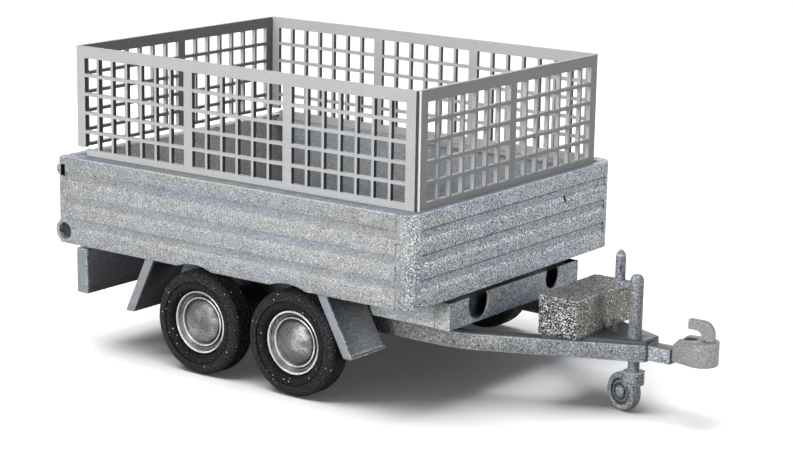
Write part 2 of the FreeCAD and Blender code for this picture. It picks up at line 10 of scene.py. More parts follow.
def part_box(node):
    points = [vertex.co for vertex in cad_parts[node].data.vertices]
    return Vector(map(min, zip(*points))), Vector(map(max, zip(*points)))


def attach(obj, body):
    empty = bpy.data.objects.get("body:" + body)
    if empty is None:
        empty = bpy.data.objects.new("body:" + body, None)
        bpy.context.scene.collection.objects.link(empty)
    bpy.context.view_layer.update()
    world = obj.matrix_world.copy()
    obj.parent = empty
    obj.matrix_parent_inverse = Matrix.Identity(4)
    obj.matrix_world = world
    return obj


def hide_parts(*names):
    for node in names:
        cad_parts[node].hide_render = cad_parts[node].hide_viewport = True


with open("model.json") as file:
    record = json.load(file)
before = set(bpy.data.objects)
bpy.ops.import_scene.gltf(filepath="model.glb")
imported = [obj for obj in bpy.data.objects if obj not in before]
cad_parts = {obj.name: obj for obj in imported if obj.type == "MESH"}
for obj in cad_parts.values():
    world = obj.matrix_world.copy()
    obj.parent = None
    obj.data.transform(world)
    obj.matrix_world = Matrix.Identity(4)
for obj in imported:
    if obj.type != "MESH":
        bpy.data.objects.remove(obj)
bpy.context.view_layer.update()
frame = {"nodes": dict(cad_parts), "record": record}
NODES = frame["nodes"]
BODY_OF = {n: b for b, names in frame["record"]["behaviour"]["bodies"].items() for n in names}
SLOT_OF = {s["node"]: s["material_slot"] for s in frame["record"]["subparts"]}
MM = 0.001

# Camera, in millimetres and degrees, fitted to the photograph's frame
IMAGE_W = 793
SENSOR_MM = 36.0
FOCAL_PX = 2189.17
CAMERA_MM = (72.495, -102.46, 36.88)
CAMERA_YAW = 35.99
CAMERA_PITCH = 13.052
CAMERA_ROLL = 0.976
CAMERA_CLIP_M = (0.002, 5.0)

# Light levels: at 1 a surface that faces the light shows its colour as it is written
KEY_LEVEL = 0.84
FRONT_LEVEL = 0.59
BACK_LEVEL = 0.35
FLOOR_LEVEL = 1.9
LIGHT_AIM_MM = 8
SKY_TOP = 0.26
SKY_TOP_TINT = (0.9, 0.95, 1.0)
SKY_TOP_AT = 0.9
SKY_EDGE = 0.13
SKY_EDGE_TINT = (0.95, 0.98, 1.0)
FLOOR_HALF_M = 2.0
FLOOR_WHITE = 0.9
FLOOR_BOUNCE = 0.12
SHADOW_LIFT = 0.045
FLOOR_FADE_MM = (90, 200)

# Widths of the small rounded edges that a moulding has, in millimetres
WALL_EDGE = 0.05
CHASSIS_EDGE = 0.06
BOLSTER_EDGE = 0.03
BOARD_EDGE = 0.1
FITTING_EDGE = 0.08
JOCKEY_EDGE = 0.04
CAGE_EDGE = 0.03
EDGE_ANGLE = math.radians(28)

# Meshes: points this close are one, edges below this angle are flat, and turned edges above it are sharp
WELD_MM = 1e-4
FLAT_ANGLE = math.radians(0.8)
TURNED_ANGLE = math.radians(40)

# Digits kept where equal places or normals are gathered, a probe's reach, and a radius that is nought
DIGITS = 3
PROBE_MM = 1
AXIS_R = 1e-6

# How a face looks, by its normal: straight along an axis, mostly along it, sloping, or on an edge that
# takes a painted highlight
STRAIGHT = 0.9
ALONG = 0.8
INWARD = -0.5
SLOPING = 0.15
RIM_TURN = (0.2, 0.95)
HEAD_TURN = (0.15, 0.97)
GUARD_BACK = -0.2

# Wheels, in millimetres: radii from the axle, and depths inwards from a tyre's outer face
TYRE_HOLE_R = 1.95
TYRE_SHOULDER = 0.42
TYRE_RING_R = 2.4
TYRE_RING_W = 0.08
TYRE_RING_DEPTH = 0.1
TYRE_RING_SLOPE = 0.02
TYRE_BEAD_DEPTH = 0.05
TYRE_BEAD_W = 0.14
TYRE_BEAD_STEP = (0.05, 0.08)
TYRE_HOLE_DEPTH = 0.32
TYRE_BACK_W = 0.1
TREAD_GROOVES = 4
TREAD_GROOVE_W = 0.1
TREAD_GROOVE_DEPTH = 0.07
TREAD_FLOOR = 0.6
RIM_FACE = 0.3
RIM_WALL_DEPTH = 0.3
RIM_BACK = 1.43
RIM_STEP = 0.01
FLANGE_R = 1.85
FLANGE_W = 0.12
INNER_RING_R = 1.46
INNER_RING_W = 0.1
INNER_RING_H = 0.08
DISH_DEPTH = 0.3
CHANNEL_DEPTH = 0.12
CHANNEL_W = 0.06
SLOPE_H = 0.12
DOME_R = 1.24
DOME_H = 0.36
DOME_SHAPE = 1.1
DOME_STEPS = 10
ARC_STEPS = 6
FLANGE_STEPS = 8
TREAD_NOTCH_DEPTH = 0.05
TREAD_NOTCH_MARGIN = 0.005
TREAD_NOTCHES = 88
STEPS_PER_NOTCH = 3
TYRE_STEPS = STEPS_PER_NOTCH * TREAD_NOTCHES
WHEEL_STEPS = 120

# Jockey wheel, in millimetres: radii, and depths from its face
JOCKEY_PIN_R = 0.18
JOCKEY_HUB_R = 0.34
JOCKEY_RING_R = 0.55
JOCKEY_DISC_R = 0.76
JOCKEY_DEPTH = 0.12
JOCKEY_ROUND = 0.17
JOCKEY_STEP = 0.03
JOCKEY_HUB_TOP = 0.02
JOCKEY_HUB_SIDE = 0.05
JOCKEY_HUB_SLOPE = 0.01
JOCKEY_RING_H = 0.06
JOCKEY_RING_TOP = 0.02
JOCKEY_RING_FOOT = 0.05
JOCKEY_RIM_W = 0.04

# Toolbox, in millimetres
GRAIN_STEP = 0.055
GRAIN_SIZE = 0.115
GRAIN_HEIGHT = 0.035
GRAIN_GAIN = 1.5
FINE_GRAIN_SCALE = 2.1
FINE_GRAIN_SHARE = 0.6
TOOL_BOX_ROUND = 0.17
LID_H = 0.4
LID_OUT = 0.05

# Box details, in millimetres: the hinge hole, which takes painted shade, the rim's edge, which takes a
# painted highlight, the grooves' depth and zone, and the slots' corners, inside which shade is painted
HINGE_HOLE_R = 0.52
HINGE_DEPTH = 0.75
RIM_EDGE = 0.07
GROOVE_REACH = 0.16
GROOVE_SKIN = 0.06
GROOVE_LOWEST = 6.75
SLOT_SKIN = 0.03
FRONT_SLOT = ((4.9, 9.86), (5.1, 10.28))
LATCH_SLOT = ((-19.19, 10.44), (-18.8, 11.2))
LATCH_MARGIN = 0.25
SLOT_BACK_Y = 10.1

# Chassis and coupling details, in millimetres
BOLSTER_WALL = 0.14
GUARD_LIP_W = 0.26
NOSE_GAP = 0.3
CUP_X = 17.958
CUP_R = 0.45
CUP_DEPTH = 1.2 * CUP_R


# Camera, lights and floor

def camera_axes():
    yaw, pitch, roll = (math.radians(a) for a in (CAMERA_YAW, CAMERA_PITCH, CAMERA_ROLL))
    back = Vector((math.sin(yaw) * math.cos(pitch), -math.cos(yaw) * math.cos(pitch), math.sin(pitch)))
    right = (-back).cross(Vector((0, 0, 1))).normalized()
    up = right.cross(-back)
    c, s = math.cos(roll), math.sin(roll)
    return right * c + up * s, up * c - right * s, back


def make_camera():
    data = bpy.data.cameras.new("camera")
    data.sensor_fit = "HORIZONTAL"
    data.sensor_width = SENSOR_MM
    data.lens = SENSOR_MM * FOCAL_PX / IMAGE_W
    data.clip_start, data.clip_end = CAMERA_CLIP_M
    obj = bpy.data.objects.new("camera", data)
    bpy.context.scene.collection.objects.link(obj)
    right, up, back = camera_axes()
    turn = Matrix((right, up, back)).transposed().to_4x4()
    obj.matrix_world = Matrix.Translation(Vector(CAMERA_MM) * MM) @ turn
    bpy.context.scene.camera = obj


def area_light(name, azimuth, elevation, distance_mm, size_mm, level, colour=(1.0, 1.0, 1.0)):
    """Azimuth 0 is the +X side and 270 the -Y side; level is what a facing surface receives."""
    a, e = math.radians(azimuth), math.radians(elevation)
    towards = Vector((math.cos(a) * math.cos(e), math.sin(a) * math.cos(e), math.sin(e)))
    distance = distance_mm * MM
    data = bpy.data.lights.new(name, "AREA")
    data.shape = "SQUARE"
    data.size = size_mm * MM
    data.energy = level * math.pi ** 2 * distance ** 2
    data.color = colour
    obj = bpy.data.objects.new(name, data)
    bpy.context.scene.collection.objects.link(obj)
    place = towards * distance + Vector((0, 0, LIGHT_AIM_MM * MM))
    obj.matrix_world = Matrix.Translation(place) @ towards.to_track_quat("Z", "Y").to_matrix().to_4x4()
    return obj


def limit_light(light, name, objects, state):
    """The light reaches only the given objects (INCLUDE), or all but them (EXCLUDE)."""
    group = bpy.data.collections.new(name)
    for obj in objects:
        group.objects.link(obj)
    light.light_linking.receiver_collection = group
    for member in group.collection_objects:
        member.light_linking.link_state = state


def make_lights(floor):
    key = area_light("key", azimuth=267, elevation=18, distance_mm=230, size_mm=110,
                     level=KEY_LEVEL, colour=(1.0, 0.995, 0.985))
    front = area_light("front", azimuth=2, elevation=20, distance_mm=230, size_mm=110,
                       level=FRONT_LEVEL, colour=(0.96, 0.98, 1.0))
    back = area_light("back", azimuth=130, elevation=18, distance_mm=260, size_mm=160, level=BACK_LEVEL)
    overhead = area_light("overhead", azimuth=200, elevation=76, distance_mm=420, size_mm=420,
                          level=FLOOR_LEVEL)
    for light in (key, front, back):
        limit_light(light, "not_lit_by_" + light.name, [floor], "EXCLUDE")
    limit_light(overhead, "lit_by_overhead", [floor], "INCLUDE")


def seen_rays(tree):
    """1 for rays that show the background itself: from the camera, mirrored, or through glass."""
    ray = tree.nodes.new("ShaderNodeLightPath")
    value = ray.outputs["Is Camera Ray"]
    for kind in ("Is Glossy Ray", "Is Transmission Ray"):
        either = tree.nodes.new("ShaderNodeMath")
        either.operation = "MAXIMUM"
        tree.links.new(value, either.inputs[0])
        tree.links.new(ray.outputs[kind], either.inputs[1])
        value = either.outputs[0]
    return value


def make_world():
    world = bpy.data.worlds.new("studio")
    bpy.context.scene.world = world
    world.use_nodes = True
    tree = world.node_tree
    tree.nodes.clear()
    out = tree.nodes.new("ShaderNodeOutputWorld")
    room = tree.nodes.new("ShaderNodeBackground")
    seen = tree.nodes.new("ShaderNodeBackground")
    seen.inputs["Color"].default_value = (1, 1, 1, 1)
    place = tree.nodes.new("ShaderNodeTexCoord")
    split = tree.nodes.new("ShaderNodeSeparateXYZ")
    ramp = tree.nodes.new("ShaderNodeValToRGB")
    edge, top = ramp.color_ramp.elements
    edge.color = (*grey(SKY_EDGE, SKY_EDGE_TINT), 1)
    top.color = (*grey(SKY_TOP, SKY_TOP_TINT), 1)
    top.position = SKY_TOP_AT
    mix = tree.nodes.new("ShaderNodeMixShader")
    tree.links.new(place.outputs["Generated"], split.inputs[0])
    tree.links.new(split.outputs["Z"], ramp.inputs[0])
    tree.links.new(ramp.outputs[0], room.inputs["Color"])
    tree.links.new(seen_rays(tree), mix.inputs[0])
    tree.links.new(room.outputs[0], mix.inputs[1])
    tree.links.new(seen.outputs[0], mix.inputs[2])
    tree.links.new(mix.outputs[0], out.inputs["Surface"])


def make_floor():
    mesh = bpy.data.meshes.new("floor")
    bm = bmesh.new()
    bmesh.ops.create_grid(bm, x_segments=4, y_segments=4, size=FLOOR_HALF_M)
    bm.to_mesh(mesh)
    bm.free()
    floor = bpy.data.objects.new("floor", mesh)
    bpy.context.scene.collection.objects.link(floor)
    mat = bpy.data.materials.new("floor_paper")
    mat.use_nodes = True
    tree = mat.node_tree
    tree.nodes.clear()
    seen = tree.nodes.new("ShaderNodeBsdfDiffuse")
    seen.inputs["Color"].default_value = (*grey(FLOOR_WHITE), 1)
    bounce = tree.nodes.new("ShaderNodeBsdfDiffuse")
    bounce.inputs["Color"].default_value = (*grey(FLOOR_BOUNCE), 1)
    lift = tree.nodes.new("ShaderNodeEmission")
    lift.inputs["Strength"].default_value = SHADOW_LIFT
    near = tree.nodes.new("ShaderNodeAddShader")
    far = tree.nodes.new("ShaderNodeEmission")
    place = tree.nodes.new("ShaderNodeTexCoord")
    distance = tree.nodes.new("ShaderNodeVectorMath")
    distance.operation = "LENGTH"
    fade = tree.nodes.new("ShaderNodeMapRange")
    fade.inputs["From Min"].default_value = FLOOR_FADE_MM[0] * MM
    fade.inputs["From Max"].default_value = FLOOR_FADE_MM[1] * MM
    shown = tree.nodes.new("ShaderNodeMixShader")
    mix = tree.nodes.new("ShaderNodeMixShader")
    out = tree.nodes.new("ShaderNodeOutputMaterial")
    tree.links.new(seen.outputs[0], near.inputs[0])
    tree.links.new(lift.outputs[0], near.inputs[1])
    tree.links.new(place.outputs["Object"], distance.inputs[0])
    tree.links.new(distance.outputs["Value"], fade.inputs["Value"])
    tree.links.new(fade.outputs["Result"], shown.inputs[0])
    tree.links.new(near.outputs[0], shown.inputs[1])
    tree.links.new(far.outputs[0], shown.inputs[2])
    tree.links.new(seen_rays(tree), mix.inputs[0])
    tree.links.new(bounce.outputs[0], mix.inputs[1])
    tree.links.new(shown.outputs[0], mix.inputs[2])
    tree.links.new(mix.outputs[0], out.inputs["Surface"])
    mesh.materials.append(mat)
    return floor


# Materials

MATERIALS = {}
WHITE = (1.0, 1.0, 1.0)
COOL_SHARES = (-1.7, -0.7, 1.0)

# Parts of a face's normal between which the finish turns from one side's colour to the next
TURN_TO_END = (0.3, 0.85)
TURN_TO_TOP = (0.45, 0.85)

# The middle part of a noise, which its contrast is stretched over
NOISE_RANGE = (0.3, 0.7)

# Silver paint: flakes by their random value, broad patches, and streaks that run up the walls; a streak's
# numbers say how much of red, green and blue it takes away
FLAKE_SIZE = 0.75
BRIGHT_FLAKES = (0.84, 0.93)
BRIGHT_FLAKE = 1.7
DARK_FLAKES = (0.2, 0.1)
DARK_FLAKE = -1.1
PATCH_MM = 1.1
PATCH_STRETCH = (1.0, 0.6, 1.8)
PATCH_RANGE = (0.35, 0.65)
STREAK_MM = 1.3
STREAK_STRETCH = (0.14, 0.3, 1.2)
STREAK_RANGE = (0.36, 0.62)
COOL_STREAK = (1.6, 1.0, 0.0)
WARM_STREAK = (0.0, 0.2, 1.2)

# Plain plastic: its grain, and the marks that it left as it flowed into the mould
PLAIN_MM = 0.16
PLAIN_GRAIN = 0.05
FLOW_MM = 1.4
FLOW_STRETCH = (0.4, 0.4, 1.0)
FLOW_DARK = (0.95, 0.955, 0.96)

# Toolbox casting: its grain, calm patches on its long face, and painted highlights on its edges
CAST_MM = 0.088
CALM_MM = 1.6
CALM_RANGE = (0.42, 0.6)
CALM_SHARE = 0.6
CALM_GREY = (0.17, 0.168, 0.142)
EDGE_RANGE = (0.04, 0.2)
EDGE_SHARE = 0.7
CLOUD_MM = 0.9
CLOUD_DARK = (0.84, 0.83, 0.78)
CLOUD_LIGHT = (1.0, 1.0, 1.02)

# Tyres: the dust in their grain, and pale specks on a few cells
RUBBER_MM = 0.085
DUST_TINT = (1.0, 0.97, 1.08)
RUBBER_TINT = (1.05, 1.0, 1.14)
SPECK_MM = 0.12
SPECK_CELLS = (0.968, 0.972)
SPECK_R = (0.38, 0.22)
SPECK_GREY = (0.7, 0.7, 0.72)

# Rims: a broad painted sheen of light and dark, rubbed places, and how strongly the grain scuffs them
RIM_SHEEN_MM = 1.4
WORN_MM = 1.1
WORN_STRETCH = (1.0, 1.0, 1.3)
WORN_RANGE = (0.5, 0.6)
WORN_LEVEL = 1.1
WORN_TINT = (1.0, 0.84, 0.74)
RIM_GRAIN_MM = 0.08
SCUFF = 0.4

# Grain sizes of the paint on the box, on most small parts, and on the rest
BOX_MM = 0.075
PART_MM = 0.08
LOOSE_MM = 0.09


class Finish:
    """A material whose colour, roughness and relief come from node textures in the object's own space."""

    def __init__(self, name, metallic=0.0, specular=0.5):
        self.material = bpy.data.materials.new(name)
        self.material.use_nodes = True
        self.tree = self.material.node_tree
        self.shader = self.tree.nodes["Principled BSDF"]
        self.shader.inputs["Metallic"].default_value = metallic
        self.shader.inputs["Specular IOR Level"].default_value = specular
        spot = self.tree.nodes.new("ShaderNodeTexCoord")
        self.place = spot.outputs["Object"]
        self.normal = spot.outputs["Normal"]
        MATERIALS[name] = self.material

    def link(self, source, target):
        self.tree.links.new(source, target)

    def noise(self, size_mm, detail=2.0, roughness=0.5, stretch=None):
        node = self.tree.nodes.new("ShaderNodeTexNoise")
        node.inputs["Scale"].default_value = 1 / (size_mm * MM)
        node.inputs["Detail"].default_value = detail
        node.inputs["Roughness"].default_value = roughness
        self.link(self.stretched(stretch), node.inputs["Vector"])
        return node.outputs["Fac"]

    def stretched(self, stretch):
        if stretch is None:
            return self.place
        node = self.tree.nodes.new("ShaderNodeMapping")
        node.inputs["Scale"].default_value = stretch
        self.link(self.place, node.inputs["Vector"])
        return node.outputs["Vector"]

    def cells(self, size_mm):
        """A random value for each small cell, and the distance from the cell's middle."""
        node = self.tree.nodes.new("ShaderNodeTexVoronoi")
        node.inputs["Scale"].default_value = 1 / (size_mm * MM)
        split = self.tree.nodes.new("ShaderNodeSeparateColor")
        self.link(self.place, node.inputs["Vector"])
        self.link(node.outputs["Color"], split.inputs[0])
        return split.outputs[0], node.outputs["Distance"]

    def ramp(self, value, *stops):
        node = self.tree.nodes.new("ShaderNodeValToRGB")
        points = node.color_ramp.elements
        while len(points) < len(stops):
            points.new(0.5)
        for point, (at, colour) in zip(points, stops):
            point.position = at
            point.color = (*colour, 1)
        self.link(value, node.inputs[0])
        return node.outputs["Color"]

    def map(self, value, span, to_low, to_high):
        """The value's span turned into another one, with whatever lies past it held at its ends."""
        node = self.tree.nodes.new("ShaderNodeMapRange")
        for socket, number in zip(node.inputs[1:5], (*span, to_low, to_high)):
            socket.default_value = number
        self.link(value, node.inputs["Value"])
        return node.outputs["Result"]

    def calc(self, operation, *values):
        node = self.tree.nodes.new("ShaderNodeMath")
        node.operation = operation
        self.feed(node.inputs, values)
        return node.outputs[0]

    def feed(self, sockets, values):
        for socket, value in zip(sockets, values):
            if isinstance(value, bpy.types.NodeSocket):
                self.link(value, socket)
            elif isinstance(value, tuple):
                socket.default_value = (*value, 1)
            else:
                socket.default_value = value

    def facing(self):
        """How far the surface looks along X, and how far it looks up, from 0 to 1."""
        split = self.tree.nodes.new("ShaderNodeSeparateXYZ")
        self.link(self.normal, split.inputs[0])
        along = self.calc("ABSOLUTE", split.outputs["X"])
        return self.map(along, TURN_TO_END, 0.0, 1.0), self.map(split.outputs["Z"], TURN_TO_TOP, 0.0, 1.0)

    def blend(self, share, a, b):
        node = self.tree.nodes.new("ShaderNodeMix")
        self.feed((node.inputs[0], node.inputs[2], node.inputs[3]), (share, a, b))
        return node.outputs[0]

    def scaled(self, colour, factor):
        node = self.tree.nodes.new("ShaderNodeVectorMath")
        node.operation = "SCALE"
        self.link(colour, node.inputs[0])
        self.link(factor, node.inputs["Scale"])
        return node.outputs[0]

    def mix(self, share, a, b, blend="MIX"):
        node = self.tree.nodes.new("ShaderNodeMix")
        node.data_type = "RGBA"
        node.blend_type = blend
        self.feed((node.inputs[0], node.inputs[6], node.inputs[7]), (share, a, b))
        return node.outputs[2]

    def bump(self, height, depth_mm):
        node = self.tree.nodes.new("ShaderNodeBump")
        node.inputs["Distance"].default_value = depth_mm * MM
        node.inputs["Strength"].default_value = 1.0
        self.link(height, node.inputs["Height"])
        self.link(node.outputs["Normal"], self.shader.inputs["Normal"])

    def roughness(self, value, low, high):
        node = self.tree.nodes.new("ShaderNodeMapRange")
        node.inputs["To Min"].default_value = low
        node.inputs["To Max"].default_value = high
        self.link(value, node.inputs["Value"])
        self.link(node.outputs["Result"], self.shader.inputs["Roughness"])

    def colour(self, value):
        self.link(value, self.shader.inputs["Base Color"])


def grey(level, tint=WHITE):
    return tuple(min(1.0, max(0.0, level * t)) for t in tint)


def cool(level, blue=0.02):
    """A grey that leans towards blue."""
    return grey(level, tuple(1 + share * blue for share in COOL_SHARES))


def faded(losses, clouds):
    return tuple(1 - loss * clouds for loss in losses)


def flaked(name, side, end, top, contrast, grain_mm=LOOSE_MM, clouds=0.06, patches=0.08):
    """Silver paint on moulded plastic: fine grain, bright and dark flakes, faint warm and cool streaks.

    side, end and top are its colours on faces that look along Y, X and up, lit and shaded copies of one
    paint that hold painted light and shade, and contrast says how strong the grain is on each.
    """
    fin = Finish(name, specular=0.3)
    facing_end, facing_top = fin.facing()
    # Painted light and shade: the colour and the grain's contrast are picked by the way the face looks
    tone = fin.mix(facing_top, fin.mix(facing_end, side, end), top)
    strength = fin.blend(facing_top, fin.blend(facing_end, contrast[0], contrast[1]), contrast[2])
    relief = fin.noise(grain_mm, detail=3.0, roughness=0.7)
    grain = fin.map(relief, NOISE_RANGE, -1.0, 1.0)
    flake, _ = fin.cells(grain_mm * FLAKE_SIZE)
    bright = fin.map(flake, BRIGHT_FLAKES, 0.0, BRIGHT_FLAKE)
    dark = fin.map(flake, DARK_FLAKES, 0.0, DARK_FLAKE)
    grain = fin.calc("ADD", fin.calc("ADD", grain, bright), dark)
    broad = fin.noise(PATCH_MM, detail=3.0, roughness=0.6, stretch=PATCH_STRETCH)
    broad = fin.map(broad, PATCH_RANGE, 1 - patches, 1 + patches)
    factor = fin.calc("MULTIPLY_ADD", grain, strength, broad)
    streaks = fin.noise(STREAK_MM, detail=3.0, roughness=0.6, stretch=STREAK_STRETCH)
    streaks = fin.ramp(streaks, (STREAK_RANGE[0], faded(COOL_STREAK, clouds)),
                       (STREAK_RANGE[1], faded(WARM_STREAK, clouds)))
    fin.colour(fin.scaled(fin.mix(1.0, tone, streaks, "MULTIPLY"), factor))
    fin.roughness(relief, low=0.38, high=0.62)
    fin.bump(relief, depth_mm=0.012)


def smooth_grey(name, side, end, top):
    """Plain moulded plastic: nearly even, with a faint grain and flow marks."""
    fin = Finish(name, specular=0.35)
    facing_end, facing_top = fin.facing()
    # Painted light and shade: lit and shaded copies of the grey, picked by the way the face looks
    tone = fin.mix(facing_top, fin.mix(facing_end, side, end), top)
    grain = fin.noise(PLAIN_MM, detail=3.0, roughness=0.6)
    flow = fin.ramp(fin.noise(FLOW_MM, stretch=FLOW_STRETCH), (0.35, FLOW_DARK), (0.65, WHITE))
    factor = fin.map(grain, NOISE_RANGE, 1 - PLAIN_GRAIN, 1 + PLAIN_GRAIN)
    fin.colour(fin.scaled(fin.mix(1.0, tone, flow, "MULTIPLY"), factor))
    fin.roughness(grain, low=0.45, high=0.62)
    fin.bump(grain, depth_mm=0.006)


def coarse_silver(name):
    """Toolbox: thick silver paint over a rough mould, with painted shade in its pits and painted
    highlights on its tips, in lit and shaded copies for faces that look along Y, X and up.
    """
    fin = Finish(name, specular=0.3)
    facing_end, facing_top = fin.facing()
    grain = fin.noise(CAST_MM, detail=2.5, roughness=0.65)
    # Painted shade in the grain's pits and painted highlights on its tips, picked by the way the face
    # looks
    side = fin.ramp(grain, (0.4, (0.008, 0.008, 0.01)), (0.48, (0.06, 0.06, 0.07)),
                    (0.53, (0.22, 0.22, 0.23)), (0.6, (0.9, 0.91, 0.93)))
    end = fin.ramp(grain, (0.4, (0.02, 0.02, 0.018)), (0.47, (0.1, 0.098, 0.09)),
                   (0.54, (0.23, 0.228, 0.21)), (0.61, (0.8, 0.8, 0.76)))
    top = fin.ramp(grain, (0.4, (0.03, 0.029, 0.027)), (0.5, (0.13, 0.128, 0.122)),
                   (0.61, (0.5, 0.49, 0.47)))
    calm = fin.map(fin.noise(CALM_MM), CALM_RANGE, 0.0, CALM_SHARE)
    end = fin.mix(calm, end, CALM_GREY)
    base = fin.mix(facing_top, fin.mix(facing_end, side, end), top)
    # Painted highlight on the edges between the sides and the top
    wear_and_highlight = fin.ramp(grain, (0.4, grey(0.08)), (0.5, (0.5, 0.5, 0.51)), (0.6, (0.95, 0.95, 0.97)))
    turning = fin.calc("MULTIPLY", facing_top, fin.calc("SUBTRACT", 1.0, facing_top))
    base = fin.mix(fin.map(turning, EDGE_RANGE, 0.0, EDGE_SHARE), base, wear_and_highlight)
    clouds = fin.noise(CLOUD_MM, detail=3.0, roughness=0.6)
    clouds = fin.ramp(clouds, (0.38, CLOUD_DARK), (0.62, CLOUD_LIGHT))
    fin.colour(fin.mix(1.0, base, clouds, "MULTIPLY"))
    fin.roughness(grain, low=0.28, high=0.6)
    fin.bump(grain, depth_mm=0.02)


def tyre_black(name, level):
    """Matt black tyre with fine dust and a few pale specks stuck to it."""
    fin = Finish(name, specular=0.14)
    grain = fin.noise(RUBBER_MM, detail=3.0, roughness=0.65)
    base = fin.ramp(grain, (0.35, grey(0.01 * level)), (0.53, grey(0.024 * level, RUBBER_TINT)),
                    (0.68, grey(0.15 * level, DUST_TINT)))
    cell, distance = fin.cells(SPECK_MM)
    chosen = fin.map(cell, SPECK_CELLS, 0.0, 1.0)
    speck = fin.calc("MULTIPLY", chosen, fin.map(distance, SPECK_R, 0.0, 1.0))
    fin.colour(fin.mix(speck, base, SPECK_GREY))
    fin.roughness(grain, low=0.5, high=0.85)
    fin.bump(grain, depth_mm=0.02)


def rim_paint(name, levels, scuffs, wear=0.15):
    """Silver painted wheel disc: a broad painted sheen of light and dark, a fine grain, and brown-grey
    where it is rubbed.
    """
    fin = Finish(name, metallic=0.2, specular=0.6)
    dark, middle, light = levels
    # Broad painted sheen of light and dark
    sheen = fin.noise(RIM_SHEEN_MM, detail=1.5)
    base = fin.ramp(sheen, (0.38, grey(dark)), (0.5, grey(middle)), (0.6, grey(light)))
    wear_and_highlight = fin.noise(WORN_MM, roughness=0.55, stretch=WORN_STRETCH)
    wear_and_highlight = fin.map(wear_and_highlight, WORN_RANGE, 0.0, wear)
    tone = fin.mix(wear_and_highlight, base, grey(WORN_LEVEL * dark, WORN_TINT))
    grain = fin.noise(RIM_GRAIN_MM, detail=3.0, roughness=0.7)
    fin.colour(fin.scaled(tone, fin.map(grain, NOISE_RANGE, 1 - SCUFF * scuffs, 1 + SCUFF * scuffs)))
    fin.roughness(grain, low=0.28, high=0.55)
    fin.bump(grain, depth_mm=0.012)


def drawn_steel(name):
    fin = Finish(name, metallic=1.0)
    lines = fin.noise(0.1, detail=3.0, roughness=0.6, stretch=(1.0, 0.1, 1.0))
    fin.colour(fin.ramp(lines, (0.3, (0.34, 0.34, 0.35)), (0.7, (0.55, 0.55, 0.56))))
    fin.roughness(lines, low=0.3, high=0.5)
    fin.bump(lines, depth_mm=0.006)


